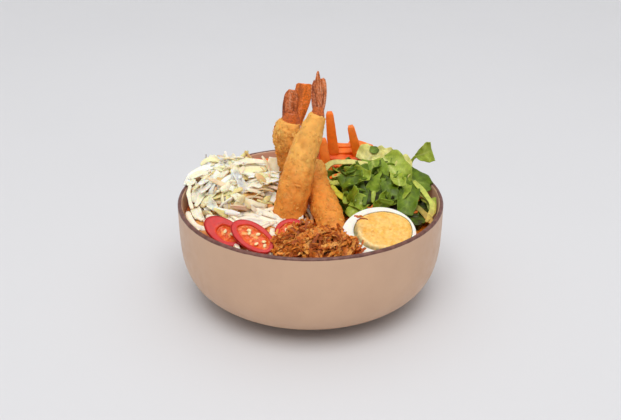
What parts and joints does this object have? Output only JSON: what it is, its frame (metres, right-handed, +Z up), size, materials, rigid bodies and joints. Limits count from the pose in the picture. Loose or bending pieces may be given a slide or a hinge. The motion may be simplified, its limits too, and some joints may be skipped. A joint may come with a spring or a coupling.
{
  "type": "bowl of tom yum soup",
  "caption": "Rounded stoneware bowl of hot and sour noodle soup with battered prawns, half a boiled egg, shredded vegetables, red chilli slices and fried shallots.",
  "frame": {"origin": "centre of the bowl's foot, on the table", "axes": "+Z up; -Y towards the front, where the egg, the chilli slices and the fried shallots lie; +X to the right"},
  "size_m": [0.175, 0.175, 0.1511],
  "materials": {
    "bowl_glaze": "satin",
    "broth": "gloss",
    "noodles": "satin",
    "cabbage": "satin",
    "carrot": "satin",
    "lettuce": "satin",
    "fried_shallots": "matte",
    "egg_white": "satin",
    "egg_yolk": "matte",
    "chilli_flesh": "gloss",
    "chilli_core": "satin",
    "batter": "matte",
    "prawn_tail": "satin"
  },
  "bodies": {
    "root": {"bowl": "bowl_glaze", "broth": "broth", "noodle_nest": "noodles", "cabbage_heap": "cabbage", "carrot_heap_back": "carrot", "carrot_heap_left": "carrot", "carrot_stick_1": "carrot", "carrot_stick_2": "carrot", "carrot_stick_3": "carrot", "lettuce_heap": "lettuce", "lettuce_sprig": "lettuce", "shallot_heap": "fried_shallots", "egg_white": "egg_white", "egg_yolk": "egg_yolk", "chilli_slice_1_ring": "chilli_flesh", "chilli_slice_1_core": "chilli_core", "chilli_slice_2_ring": "chilli_flesh", "chilli_slice_2_core": "chilli_core", "chilli_slice_3_ring": "chilli_flesh", "chilli_slice_3_core": "chilli_core", "prawn_1_body": "batter", "prawn_1_tail": "prawn_tail", "prawn_2_body": "batter", "prawn_2_tail": "prawn_tail", "prawn_3_body": "batter", "prawn_3_tail": "prawn_tail"}
  },
  "joints": []
}
